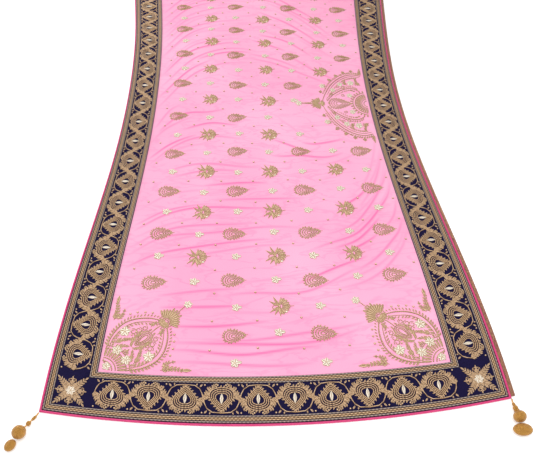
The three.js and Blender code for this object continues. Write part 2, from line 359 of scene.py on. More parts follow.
def sheet_mesh(name, u, v, top, bottom):
    """A cloth wall over a grid of the cut, its face at height top and its back one flat piece at bottom."""
    rows, columns = u.shape
    x, y = lay(u, v)
    face = np.stack([x, y, top], axis=-1).reshape(-1, 3)
    index = np.arange(rows * columns).reshape(rows, columns)
    quads = np.stack([index[:-1, :-1], index[:-1, 1:], index[1:, 1:], index[1:, :-1]], axis=-1).reshape(-1, 4)
    rim = np.concatenate([index[0, :-1], index[:-1, -1], index[-1, :0:-1], index[:0:-1, 0]])
    under = face[rim].copy()
    under[:, 2] = bottom
    count = len(rim)
    base = rows * columns
    sides = [(int(rim[k]), base + k, base + (k + 1) % count, int(rim[(k + 1) % count])) for k in range(count)]
    back = tuple(range(base, base + count))[::-1]
    made = mesh_of(name, np.vstack([face, under]), quads.tolist() + sides + [back])
    cut = made.uv_layers.new(name="cut")
    corners = np.zeros(len(made.loops), int)
    made.loops.foreach_get("vertex_index", corners)
    flat = np.column_stack([np.concatenate([u.ravel(), u.ravel()[rim]]),
                            np.concatenate([v.ravel(), v.ravel()[rim]])]) * MM
    cut.data.foreach_set("uv", flat[corners].ravel().astype(np.float32))
    return made


def attribute(mesh, name, values):
    made = mesh.attributes.new(name, "FLOAT", "POINT")
    made.data.foreach_set("value", np.asarray(values, np.float32))


NET_HOLE = 2.6    # mm: the real hole is about 1; drawn coarse enough to show
net, tree, shader = finish_of("rose_net", Roughness=0.75, Sheen_Weight=0.25, Sheen_Roughness=0.4,
                              Sheen_Tint=colour("FFE3EE"), Specular_IOR_Level=0.2)
# Soft nylon net: a haze of fine mesh, its pink painted deeper along the creases and along faint smaller wrinkles
# between them, partly for the net doubling on itself and partly as painted shade
place = add(tree, "UVMap", uv_map="cut")
crease = add(tree, "Attribute", attribute_name="doubled")
blotch = add(tree, "TexNoise", {"Vector": place.outputs["UV"], "Scale": 3.0, "Detail": 2.0})
ground = add(tree, "ValToRGB", {"Fac": blotch.outputs["Fac"]}, stops=[(0.35, "F4A3C4"), (0.65, "F8B0CD")])
stretch = add(tree, "Mapping", {"Vector": place.outputs["UV"], "Scale": (1.0, 3.6, 1.0),
                                "Rotation": (0, 0, 0.12)})
wrinkle = add(tree, "TexNoise", {"Vector": stretch.outputs["Vector"], "Scale": 8.0, "Detail": 3.0,
                                 "Distortion": 1.0})
lines = add(tree, "ValToRGB", {"Fac": wrinkle.outputs["Fac"]},
            stops=[(0.46, "000000"), (0.5, "FFFFFF"), (0.54, "000000")])
faint = add(tree, "Math", {0: lines.outputs["Color"], 1: 0.25}, operation="MULTIPLY")
# deeper pink along creases and faint painted wrinkles: partly doubled net, partly painted shade
deep = add(tree, "Math", {0: crease.outputs["Fac"], 1: faint.outputs["Value"]}, operation="MAXIMUM")
pink = add(tree, "Mix", {0: deep.outputs["Value"], 6: ground.outputs["Color"], 7: colour("EC6BA6")},
           data_type="RGBA")
weft = add(tree, "TexWave", {"Vector": place.outputs["UV"], "Scale": 1 / (NET_HOLE * MM) / 20},
           bands_direction="X")
warp = add(tree, "TexWave", {"Vector": place.outputs["UV"], "Scale": 1 / (NET_HOLE * MM) / 20},
           bands_direction="Y")
holes = add(tree, "Math", {0: weft.outputs["Fac"], 1: warp.outputs["Fac"]}, operation="MULTIPLY")
relief = add(tree, "Bump", {"Strength": 0.25, "Distance": 0.4 * MM, "Height": holes.outputs["Value"]})
tree.links.new(pink.outputs[2], shader.inputs["Base Color"])
tree.links.new(relief.outputs["Normal"], shader.inputs["Normal"])

mesh = sheet_mesh("net_field", U, V, NET + net_height, 0.0)
attribute(mesh, "doubled", np.concatenate([doubled.ravel(), np.zeros(len(mesh.vertices) - doubled.size)]))
field = shown("net_field", mesh, net)
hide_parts("field")

# ---- Velvet border ----
# Four strips of navy velvet, 105 mm wide and mitred at the corners, stitched over the edge of the net. Cut
# pile: almost black head on, with a thin blue bloom where the light grazes it.
TOP = NET + GAP + VELVET
CORNER_GAP = GAP / math.sqrt(2)
STRIP_STEPS = {"long": 110, "short": 56}


def along_side(side, off, share):
    """Points of the cut at distance off in from one side's edge; share runs -1 to 1 to the mitres."""
    if side in ("left", "right"):
        return (HALF_W - off) * (1 if side == "right" else -1) + 0 * share, share * (HALF_L - off)
    return share * (HALF_W - off), (HALF_L - off) * (1 if side == "far" else -1) + 0 * share


velvet, tree, shader = finish_of("navy_velvet", Roughness=0.9, Sheen_Weight=0.5, Sheen_Roughness=0.35,
                                 Sheen_Tint=colour("4A4A8C"), Specular_IOR_Level=0.12)
pile = add(tree, "TexNoise", {"Scale": 420.0, "Detail": 2.0})
nap = add(tree, "ValToRGB", {"Fac": pile.outputs["Fac"]}, stops=[(0.35, "0D0922"), (0.7, "1E1745")])
fluff = add(tree, "Bump", {"Strength": 0.4, "Distance": 0.5 * MM, "Height": pile.outputs["Fac"]})
tree.links.new(nap.outputs["Color"], shader.inputs["Base Color"])
tree.links.new(fluff.outputs["Normal"], shader.inputs["Normal"])

profile = [(0.0, TOP - VELVET), (0.0, TOP - 0.6), (0.6, TOP), (35.0, TOP), (70.0, TOP), (BORDER - 0.6, TOP),
           (BORDER, TOP - 0.6), (BORDER, TOP - VELVET)]
for side in ("left", "right", "near", "far"):
    long_side = side in ("left", "right")
    steps = STRIP_STEPS["long" if long_side else "short"]
    share = np.linspace(-1, 1, steps + 1)
    points = []
    for off, z in profile:
        reach = (HALF_L if long_side else HALF_W) - off
        u, v = along_side(side, off, share * (1 - CORNER_GAP / reach))
        points.append(np.column_stack([*lay(u, v), np.full(len(share), z)]))
    points = np.stack(points, axis=1).reshape(-1, 3)
    rows = len(profile)
    turned = side in ("left", "far")
    faces = []
    for k in range(steps):
        for s in range(rows):
            a, b = k * rows + s, k * rows + (s + 1) % rows
            face = (a, b, b + rows, a + rows)
            faces.append(face if turned else face[::-1])
    ends = [tuple(range(rows)), tuple(range(steps * rows, (steps + 1) * rows))[::-1]]
    faces += [end[::-1] if turned else end for end in ends]
    strip = shown(f"velvet_{side}", mesh_of(f"velvet_{side}", points, faces), velvet)
    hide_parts(f"border_{side}")

# ---- Piping ----
# One cord covered in magenta satin, cut on the bias, set into the seam round all four sides.
PIPING_RADIUS = PIPING / 2
satin, tree, shader = finish_of("magenta_satin", Roughness=0.36, Sheen_Weight=0.2, Specular_IOR_Level=0.5)
# one noise both puckers the satin and paints it lighter and darker magenta in patches: a painted sheen
bias = add(tree, "TexNoise", {"Scale": 60.0, "Detail": 3.0})
shine = add(tree, "ValToRGB", {"Fac": bias.outputs["Fac"]}, stops=[(0.3, "C2185F"), (0.7, "E33A80")])
pucker = add(tree, "Bump", {"Strength": 0.5, "Distance": 0.6 * MM, "Height": bias.outputs["Fac"]})
tree.links.new(shine.outputs["Color"], shader.inputs["Base Color"])
tree.links.new(pucker.outputs["Normal"], shader.inputs["Normal"])


def round_rectangle(off, long_steps, short_steps):
    """A closed loop of the cut at distance off in from its edge: points (u, v), the corners among them."""
    long_share, short_share = np.linspace(-1, 1, long_steps + 1)[:-1], np.linspace(-1, 1, short_steps + 1)[:-1]
    w, l = HALF_W - off, HALF_L - off
    u = np.concatenate([short_share * w, w + 0 * long_share, -short_share * w, -w + 0 * long_share])
    v = np.concatenate([-l + 0 * short_share, long_share * l, l + 0 * short_share, -long_share * l])
    return u, v


def ring_faces(rings, sides, closed):
    """Triangles that join rings of points into a tube, which closes on itself or is capped at its ends."""
    k, s = np.meshgrid(np.arange(rings if closed else rings - 1), np.arange(sides), indexing="ij")
    a, b = k * sides + s, k * sides + (s + 1) % sides
    c, d = ((k + 1) % rings) * sides + (s + 1) % sides, ((k + 1) % rings) * sides + s
    faces = [np.stack([a, d, c], axis=-1).reshape(-1, 3), np.stack([a, c, b], axis=-1).reshape(-1, 3)]
    if not closed:
        fan = np.array([(0, i, i + 1) for i in range(1, sides - 1)])
        faces += [fan, fan[:, ::-1] + (rings - 1) * sides]
    return np.vstack(faces)


SATIN_SIDES, SATIN_LONG, SATIN_SHORT = 10, 180, 90
rings = []
for angle in np.arange(SATIN_SIDES) * 2 * math.pi / SATIN_SIDES:
    u, v = round_rectangle(-(GAP + PIPING_RADIUS + PIPING_RADIUS * math.cos(angle)), SATIN_LONG, SATIN_SHORT)
    rings.append(np.column_stack([*lay(u, v), np.full(len(u), PIPING_RADIUS * (1 + math.sin(angle)))]))
points = np.stack(rings, axis=1).reshape(-1, 3)
piping = shown("piping", mesh_of("piping", points, ring_faces(len(rings[0]), SATIN_SIDES, True).tolist()), satin)
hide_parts("piping_left", "piping_right", "piping_near", "piping_far")

# ---- Scattered motifs on the net ----
# Hand zardozi: gilt cord and wire couched down in raised lines, with silver-toned flowers between. Each kind
# of motif is worked once in its own millimetres and then set out in rows over the net.
GOLD, SILVER, GREY = 0, 1, 2
STITCH = 2.2            # mm along between the crossings of a couched cord
SINK = 0.3              # mm that a stitch's foot sits down in the cloth


class Work:
    """Raised work in a motif's own mm: points, their painted light (0 for painted shade in a groove, 1 for a
    painted highlight on a crest), faces and threads.
    """

    def __init__(self):
        self.points, self.lift, self.faces, self.thread = [], [], [], []

    def solid(self, points, lift, faces, thread):
        start = sum(len(p) for p in self.points)
        self.points.append(np.asarray(points, float))
        self.lift.append(np.asarray(lift, float))
        self.faces.append(np.asarray(faces, int) + start)
        self.thread.append(np.full(len(faces), thread))

    def cord(self, line, width=3.0, height=1.5, thread=GOLD, shape=(0.8, 1, 1, 0.7), plied=True, step=STITCH):
        """A raised line of stitching, its width following shape from end to end."""
        line = curve(line, step) if len(line) < 9 else np.asarray(line, float)
        ahead = np.gradient(line, axis=0)
        ahead /= np.maximum(np.linalg.norm(ahead, axis=1), 1e-9)[:, None]
        side = np.column_stack([-ahead[:, 1], ahead[:, 0]])
        share = np.linspace(0, 1, len(line))
        size = np.interp(share, np.linspace(0, 1, len(shape)), shape)
        ply = (np.arange(len(line)) % 2 * 2 - 1) * (1 if plied else 0)
        half = width / 2 * size
        rise = height * (0.35 + 0.65 * size)
        flat = [line + side * (place * half)[:, None] for place in (-1, 0.22 * ply, 1)]
        feet = np.full(len(line), -SINK)
        points = np.stack([np.column_stack([flat[0], feet]), np.column_stack([flat[1], rise]),
                           np.column_stack([flat[2], feet])], axis=1).reshape(-1, 3)
        # painted light: painted shade at the stitch's feet, a painted highlight on its crest, brighter on every
        # other stitch
        lift = np.stack([feet * 0 + 0.1, 0.78 + 0.22 * ply, feet * 0 + 0.1], axis=1).ravel()
        self.solid(points, lift, ring_faces(len(line), 3, False), thread)

    def petal(self, x, y, turn, length, width, height=1.8, thread=GOLD, shape=(0.15, 0.8, 1, 0.75, 0.1)):
        """A satin-stitched petal or leaf from its base at (x, y), with a groove down its middle."""
        turn = math.radians(turn)
        count = len(shape)
        along = np.linspace(0, length, count)
        half = width / 2 * np.asarray(shape, float)
        crest = height * (0.3 + 0.7 * np.asarray(shape, float))
        rows, lift = [], []
        # painted light of the rows: painted shade at the feet and in the middle groove, painted highlights on the
        # two crests
        for place, rise, light in ((-1, -SINK / height, 0.1), (-0.5, 1, 1.0), (0, 0.4, 0.15), (0.5, 1, 0.85),
                                   (1, -SINK / height, 0.1)):
            rows.append(np.column_stack([along, place * half, crest * rise if rise > 0 else along * 0 - SINK]))
            lift.append(np.full(count, light))
        points = np.stack(rows, axis=1).reshape(-1, 3)
        turned = np.column_stack([x + points[:, 0] * math.cos(turn) - points[:, 1] * math.sin(turn),
                                  y + points[:, 0] * math.sin(turn) + points[:, 1] * math.cos(turn),
                                  points[:, 2]])
        self.solid(turned, np.stack(lift, axis=1).ravel(), ring_faces(count, 5, False), thread)

    def knot(self, x, y, radius, height=1.6, thread=GOLD):
        """A bead or knotted stitch, round in plan."""
        angle = np.arange(7) * 2 * math.pi / 7
        foot = np.column_stack([x + radius * np.cos(angle), y + radius * np.sin(angle), angle * 0 - SINK])
        crown = np.column_stack([x + 0.6 * radius * np.cos(angle), y + 0.6 * radius * np.sin(angle),
                                 angle * 0 + 0.85 * height])
        points = np.vstack([foot, crown, [[x, y, height]]])
        faces = [(i, (i + 1) % 7, 7 + (i + 1) % 7) for i in range(7)]
        faces += [(i, 7 + (i + 1) % 7, 7 + i) for i in range(7)]
        faces += [(7 + i, 7 + (i + 1) % 7, 14) for i in range(7)]
        faces += [(0, i + 1, i) for i in range(1, 6)]
        # painted light: painted shade at the foot, a painted highlight towards the top
        self.solid(points, [0.1] * 7 + [0.8] * 7 + [1.0], faces, thread)

    def curl(self, x, y, turn, radius, hand=1, width=2.8, thread=GOLD, turns=1.2):
        """A scroll that leaves (x, y) along turn and winds up to the left (hand 1) or the right (-1)."""
        angle = np.linspace(0, turns * 2 * math.pi, max(8, int(turns * 2 * math.pi * radius * 0.7 / STITCH)))
        size = radius * (1 - 0.62 * angle / angle[-1])
        turn = math.radians(turn)
        centre = np.array([x - hand * radius * math.sin(turn), y + hand * radius * math.cos(turn)])
        line = np.column_stack([centre[0] + size * hand * np.sin(turn + hand * angle),
                                centre[1] - size * hand * np.cos(turn + hand * angle)])
        self.cord(line, width, thread=thread)

    def spray(self, line, length, width, angle=38, step=7.0, sides=(1, -1), thread=GOLD, stem=2.6, tip=True):
        """A stem with leaves set along it on both sides, smaller to its end, and one at its tip."""
        route = curve(line, 2.0)
        if stem:
            self.cord(route if len(route) > 8 else line, stem)
        run = np.concatenate([[0], np.cumsum(np.linalg.norm(np.diff(route, axis=0), axis=1))])
        ahead = np.gradient(route, axis=0)
        heading = np.degrees(np.arctan2(ahead[:, 1], ahead[:, 0]))
        for k, at in enumerate(np.arange(step * 0.4, run[-1], step)):
            i = int(np.searchsorted(run, at))
            size = 1 - 0.45 * at / run[-1]
            for side in sides:
                self.petal(route[i][0], route[i][1], heading[i] + side * angle, length * size, width * size,
                           thread=thread, shape=(0.3, 0.9, 1, 0.15))
        if tip:
            self.petal(route[-1][0], route[-1][1], heading[-1], length * 0.8, width * 0.8, thread=thread)

    def flower(self, x, y, radius, petals=5, turn=0, thread=SILVER, eye=GOLD):
        """A flat flower of satin-stitched petals round an eye."""
        for k in range(petals):
            self.petal(x, y, turn + 360 * k / petals, radius, radius * 5.0 / petals, thread=thread,
                       shape=(0.3, 0.75, 1, 0.55))
        self.knot(x, y, radius * 0.2, 2.2, eye)

    def drop(self, x, y, turn, length, width, inner=(1.0, 0.74, 0.5), fringe=0, cord=3.2, thread=GOLD):
        """A teardrop of nested cords, its point towards turn, round the place (x, y), with a leafy rim."""
        turn = math.radians(turn)
        for size in inner:
            angle = np.linspace(0, 2 * math.pi, max(14, int(size * (length + width) * 1.5 / STITCH)))
            px = -length / 2 * size * np.cos(angle)
            py = width / 2 * size * np.sin(angle) * (1 - 0.42 * (px / (length * size / 2)))
            shrink = np.where(px > 0, 1 - (px / (length / 2 * size)) ** 2 * 0.35, 1)
            py = py * shrink
            line = np.column_stack([x + px * math.cos(turn) - py * math.sin(turn),
                                    y + px * math.sin(turn) + py * math.cos(turn)])
            self.cord(line, cord, thread=thread, shape=(1, 1))
            if fringe and size == inner[0]:
                ahead = np.gradient(line, axis=0)
                heading = np.degrees(np.arctan2(ahead[:, 1], ahead[:, 0]))
                for i in np.linspace(1, len(line) - 2, fringe).astype(int):
                    self.petal(line[i][0], line[i][1], heading[i] + 62, 6.0, 4.2,
                               shape=(0.6, 1, 0.4))

    def arrays(self):
        return (np.vstack(self.points), np.concatenate(self.lift), np.vstack(self.faces),
                np.concatenate(self.thread))


class Panel:
    """Raised work gathered from many motifs into one mesh."""

    def __init__(self):
        self.points, self.lift, self.faces, self.thread, self.count = [], [], [], [], 0

    def stamp(self, work, u, v, height, turn=0, mirror=False, stiff=False, size=1.0):
        """Sets a motif at (u, v) of the cut. A stiff one keeps its shape as the cloth under it is drawn in."""
        points, lift, faces, thread = work.arrays()
        x, y = points[:, 0] * (-size if mirror else size), points[:, 1] * size
        turn = math.radians(turn)
        x, y = x * math.cos(turn) - y * math.sin(turn), x * math.sin(turn) + y * math.cos(turn)
        if stiff:
            here = np.array(lay(u, v))
            slope = np.array([np.array(lay(u + 1, v)) - here, np.array(lay(u, v + 1)) - here]).T
            du, dv = np.linalg.solve(slope, np.vstack([x, y]))
            base = height(u + du, v + dv)
            placed = np.column_stack([here[0] + x, here[1] + y, base + points[:, 2]])
        else:
            base = height(u + x, v + y)
            placed = np.column_stack([*lay(u + x, v + y), base + points[:, 2]])
        self.add(placed, lift, faces[:, ::-1] if mirror else faces, thread)

    def add(self, points, lift, faces, thread):
        self.points.append(points)
        self.lift.append(lift)
        self.faces.append(faces + self.count)
        self.thread.append(thread)
        self.count += len(points)

    def made(self, name, *materials):
        mesh = mesh_of(name, np.vstack(self.points), np.vstack(self.faces).tolist())
        # each point's painted light: painted shade in the grooves, painted highlights on the crests
        attribute(mesh, "lift", np.concatenate(self.lift))
        mesh.polygons.foreach_set("material_index", np.concatenate(self.thread).astype(np.int32))
        return shown(name, mesh, *materials)


def thread_finish(name, stops, metallic, roughness, glint):
    """Couched metal thread with painted light: painted shade in its grooves, painted highlights on its crests, and
    painted glints where single wraps catch the light.
    """
    made, tree, shader = finish_of(name, Metallic=metallic, Roughness=roughness)
    lift = add(tree, "Attribute", attribute_name="lift")
    wraps = add(tree, "TexNoise", {"Scale": 330.0, "Detail": 2.0})
    # painted glints: the thread's painted light raised or lowered at random
    shift = add(tree, "MapRange", {"Value": wraps.outputs["Fac"], "From Min": 0.3, "From Max": 0.7,
                                   "To Min": -glint, "To Max": glint})
    tone = add(tree, "Math", {0: lift.outputs["Fac"], 1: shift.outputs["Result"]},
               operation="ADD", use_clamp=True)
    ramp = add(tree, "ValToRGB", {"Fac": tone.outputs["Value"]}, stops=stops)
    tree.links.new(ramp.outputs["Color"], shader.inputs["Base Color"])
    twist = add(tree, "Bump", {"Strength": 0.5, "Distance": 0.5 * MM, "Height": wraps.outputs["Fac"]})
    tree.links.new(twist.outputs["Normal"], shader.inputs["Normal"])
    return made


gold_thread = thread_finish(
    "gilt_thread", [(0.0, "5A4434"), (0.35, "A07C5A"), (0.7, "CBA67E"), (1.0, "EBCFAC")],
    0.3, 0.45, 0.28)
silver_thread = thread_finish(
    "silver_thread", [(0.0, "7A6450"), (0.3, "C9B193"), (0.65, "EADCC6"), (1.0, "FFFAF0")],
    0.25, 0.4, 0.2)
grey_cord = thread_finish(
    "dull_grey_cord", [(0.0, "3C3230"), (0.4, "84736A"), (0.75, "A39289"), (1.0, "C6B6A8")],
    0.25, 0.5, 0.3)
THREADS = (gold_thread, silver_thread, grey_cord)

# The teardrop buti, 60 x 36 mm, its point to the right
teardrop = Work()
teardrop.drop(-3, 0, 0, 48, 32, inner=(1.0, 0.76, 0.52, 0.26), fringe=22)
teardrop.cord([(19, 0), (24, 0.6), (31, 1.2)], 3.2, shape=(1, 0.8, 0.3))

# The flower buti, 62 x 60 mm: a fan of small petals open to the right, narrow leaves behind it, a looped stem
blossom = Work()
for ring, petals, spread, length in ((8, 7, 150, 16), (15, 8, 128, 12)):
    for k in range(petals):
        angle = spread * (k / (petals - 1) - 0.5)
        blossom.petal(ring * math.cos(math.radians(angle)) - 1, ring * math.sin(math.radians(angle)), angle,
                      length, 7.5, shape=(0.45, 0.8, 1, 0.7))
for angle, length in ((82, 27), (118, 31), (148, 27), (-84, 29), (-112, 27), (-140, 28)):
    blossom.petal(2 * math.cos(math.radians(angle)), 2 * math.sin(math.radians(angle)), angle, length, 7.5,
                  shape=(0.35, 0.8, 1, 0.85, 0.5, 0.15))
blossom.curl(-8, 3, 160, 7.5, hand=1, turns=0.95)
blossom.curl(3, -4, -30, 6, hand=-1, turns=1.1)
blossom.knot(0, 0, 3.4, 2.6)
blossom.knot(17, -17, 3.4, 2.2, SILVER)
blossom.cord([(25, 0), (30, 1.5), (35, 2)], 3.0, shape=(1, 0.8, 0.5))

# The small silver flower, 25 x 21 mm, four full petals and a pointed one, and the single bead
silver_bud = Work()
for angle, length in ((8, 14), (78, 11), (142, 11.5), (-140, 11), (-72, 11)):
    silver_bud.petal(0, 0, angle, length, 11, height=2.2, thread=SILVER, shape=(0.4, 0.85, 1, 0.6))
silver_bud.knot(-0.5, 0, 2.2, 2.6, GOLD)
bead = Work()
bead.knot(0, 0, 3.2, 2.4)
bead.knot(0.8, 0.6, 1.2, 3.0, SILVER)

ROW_PITCH, ROW_MIDDLE = 150.0, -20.0
DROP_COLUMNS, BLOSSOM_COLUMNS = (-302, -92, 120, 326), (-197, 15, 227)
BEAD_COLUMNS = [-356 + 105.5 * k for k in range(8)]
CORNER_REACH, MEDALLION_MIDDLE = (180, 733), -30


def free(u, v, reach):
    """Whether a motif of that reach lies clear of the corner work and the medallion."""
    if abs(u) + reach > CORNER_REACH[0] and abs(v) + reach > CORNER_REACH[1]:
        return False
    return not (u + reach > 140 and abs(v - MEDALLION_MIDDLE) - reach < 40 + 0.62 * (u + reach - 140))


scattered = Panel()
dice = random.Random(5)
for k in range(-6, 7):
    for row, drops in ((ROW_MIDDLE + ROW_PITCH * k, False), (ROW_MIDDLE + ROW_PITCH * (k + 0.5), True)):
        if abs(row) > HALF_L - BORDER - 20:
            continue
        for columns, large in ((DROP_COLUMNS, drops), (BLOSSOM_COLUMNS, not drops)):
            for u in columns:
                u, v = u + dice.uniform(-4, 4), row + dice.uniform(-4, 4)
                motif = (teardrop if drops else blossom) if large else silver_bud
                if abs(v) < HALF_L - BORDER - (32 if large else 14) and free(u, v, 34 if large else 8):
                    scattered.stamp(motif, u, v, net_at, turn=dice.uniform(-6, 6), stiff=True,
                                    size=dice.uniform(0.95, 1.05))
for k in range(-13, 14):
    row = ROW_MIDDLE + ROW_PITCH / 2 * (k + 0.5)
    for u in BEAD_COLUMNS:
        u, v = u + dice.uniform(-4, 4), row + dice.uniform(-4, 4)
        if abs(v) < HALF_L - BORDER - 12 and free(u, v, 4):
            scattered.stamp(bead, u, v, net_at, turn=dice.uniform(0, 360), stiff=True)
butis = scattered.made("scattered_motifs", *THREADS)

# ---- Corner work ----
# A square of dense work in each corner of the net, 200 mm a side: a shell at the corner, two leafy arches
# that meet in a flower on the diagonal, and a serrated leaf inside them that points back at the corner.
corner = Work()
DIAGONAL = 45


def both(make):
    """Works a stroke and its twin across the diagonal."""
    for twin in (False, True):
        make(lambda x, y: (y, x) if twin else (x, y), -1 if twin else 1)


def half_corner(at, hand):
    side = lambda angle: angle if hand == 1 else 90 - angle

    # the side arch: a double stem with leaves on both sides, from the border to the flower on the diagonal
    corner.cord([at(4, 56), at(12, 92), at(30, 122), at(56, 138), at(90, 143), at(124, 138)], 4.5, 2.0)
    corner.cord([at(9, 56), at(18, 88), at(36, 114), at(60, 129), at(92, 133), at(122, 131)], 3.0)
    corner.spray([at(5, 62), at(13, 96), at(31, 126), at(56, 142), at(90, 148), at(122, 144)], 11, 5.5,
                 angle=52, step=8, sides=(hand,), stem=0, tip=False)
    corner.spray([at(12, 70), at(22, 96), at(38, 114), at(60, 127), at(90, 130), at(118, 127)], 12, 6,
                 angle=48, step=9, sides=(-hand,), stem=0, tip=False)
    for x, y in ((46, 153), (63, 158), (82, 159), (100, 158), (20, 140)):
        corner.knot(*at(x, y), 3.2, 1.8)
    # the finial up the border
    corner.spray([at(9, 134), at(13, 150), at(13, 168), at(10, 182)], 13, 7, angle=36, step=8)
    corner.petal(*at(10, 184), side(88), 20, 10, shape=(0.4, 0.9, 1, 0.6, 0.2))
    corner.spray([at(18, 136), at(28, 150), at(30, 160)], 9, 5, angle=44, step=7)
    corner.curl(*at(24, 140), side(40), 6, hand=hand)
    # sprays and scrolls inside the arch
    corner.flower(*at(41, 104), 13, turn=20)
    corner.spray([at(22, 72), at(34, 80), at(52, 84)], 13, 5.5, angle=28, step=7)
    corner.spray([at(28, 60), at(40, 66), at(50, 66)], 10, 5, angle=30, step=6)
    corner.flower(*at(30, 54), 12, turn=5)
    corner.curl(*at(56, 112), side(35), 8, hand=-hand)
    corner.curl(*at(74, 118), side(-10), 8, hand=-hand)
    corner.curl(*at(90, 122), side(-30), 7, hand=-hand)
    corner.spray([at(62, 74), at(66, 92), at(78, 104)], 9, 5, angle=40, step=7)
    corner.spray([at(100, 118), at(106, 128), at(118, 132)], 8, 5, angle=44, step=6)
    corner.knot(*at(68, 104), 3, 1.8)
    corner.knot(*at(58, 96), 2.6, 1.8)
    # a cord across the shell's foot
    if hand == 1:
        corner.cord([at(2, 30), at(10, 14), at(21, 3)], 3.6)


both(half_corner)
for radius in (26, 34, 58, 66):
    arc = np.radians(np.linspace(4, 86, max(10, int(radius * 1.4 / STITCH))))
    corner.cord(np.column_stack([radius * np.cos(arc), radius * np.sin(arc)]), 3.4, shape=(1, 1))
for k in range(10):
    angle = 6 + 78 * k / 9
    corner.petal(38 * math.cos(math.radians(angle)), 38 * math.sin(math.radians(angle)), angle, 19, 6.4,
                 shape=(0.5, 0.9, 1, 0.8))
    corner.petal(68 * math.cos(math.radians(angle)), 68 * math.sin(math.radians(angle)), angle, 8, 5.6,
                 shape=(0.7, 1, 0.4))
corner.flower(12, 12, 10, turn=10)
# the serrated leaf on the diagonal, and its stalk
for reach, wide in ((46, 24), (38, 16), (28, 9)):
    angle = np.linspace(0, 2 * math.pi, 44)
    along, across = reach / 2 * np.cos(angle), wide / 2 * np.sin(angle) * (1 + 0.4 * np.cos(angle))
    corner.cord(np.column_stack([86 + (along - across) * 0.7071, 86 + (along + across) * 0.7071]), 3.2,
                shape=(1, 1))
for side in (1, -1):
    corner.spray([(62, 62), (72 - side * 6, 72 + side * 6), (88 - side * 9, 88 + side * 9),
                  (104 - side * 4, 104 + side * 4)], 12, 5.5, angle=34, step=5, sides=(side,), stem=0, tip=False)
corner.petal(58, 58, 225, 15, 7)
corner.cord([(102, 102), (112, 114), (126, 126)], 3.6)
# the flower that crowns the diagonal
for k in range(12):
    angle = DIAGONAL + 140 * (k / 11 - 0.5)
    corner.petal(134 + 9 * math.cos(math.radians(angle)), 134 + 9 * math.sin(math.radians(angle)), angle,
                 32 if abs(angle - DIAGONAL) < 30 else 25, 8.5, shape=(0.4, 0.8, 1, 0.9, 0.5))
for k in range(9):
    angle = DIAGONAL + 180 + 150 * (k / 8 - 0.5)
    corner.petal(134, 134, angle, 20, 6)
for radius in (6, 11):
    angle = np.linspace(0, 2 * math.pi, 16)
    corner.cord(np.column_stack([134 + radius * np.cos(angle), 134 + radius * np.sin(angle)]), 3.2, 2.2,
                shape=(1, 1))
corner.flower(184, 182, 11, petals=6, turn=15)
corner.cord([(160, 160), (168, 168), (176, 176)], 3.2)

corners = Panel()
for across in (-1, 1):
    for along in (-1, 1):
        # worked from the corner inwards: x away from the long side, y away from the hem
        edge_u, edge_v = HALF_W - BORDER - 4, HALF_L - BORDER - 4
        corners.stamp(corner, across * edge_u, along * edge_v, net_at, turn=0 if along < 0 else 180,
                      mirror=(across > 0) == (along < 0))
corner_work = corners.made("corner_work", *THREADS)

# ---- Medallion ----
# One large half-round of the same work against the right-hand border, half way along: a shell at the border,
# a teardrop in an inner arch, an outer leafy arch, and a flower on a stalk that points into the net.
medallion = Work()       # x into the net from the border, y along it
for radius in (14, 22, 46, 54):
    arc = np.radians(np.linspace(-82, 82, max(12, int(radius * 2.8 / STITCH))))
    medallion.cord(np.column_stack([radius * np.cos(arc), radius * np.sin(arc)]), 3.4, shape=(1, 1))
for k in range(15):
    angle = -80 + 160 * k / 14
    cos, sin = math.cos(math.radians(angle)), math.sin(math.radians(angle))
    medallion.petal(25 * cos, 25 * sin, angle, 20, 6.5, shape=(0.4, 0.8, 1, 0.8))
    medallion.petal(56 * cos, 56 * sin, angle, 9, 6.5, shape=(0.7, 1, 0.4))
medallion.drop(104, 0, 180, 74, 42, inner=(1.0, 0.8, 0.58, 0.34), fringe=26)
medallion.cord([(67, 0), (62, 0), (57, 0)], 3.4)
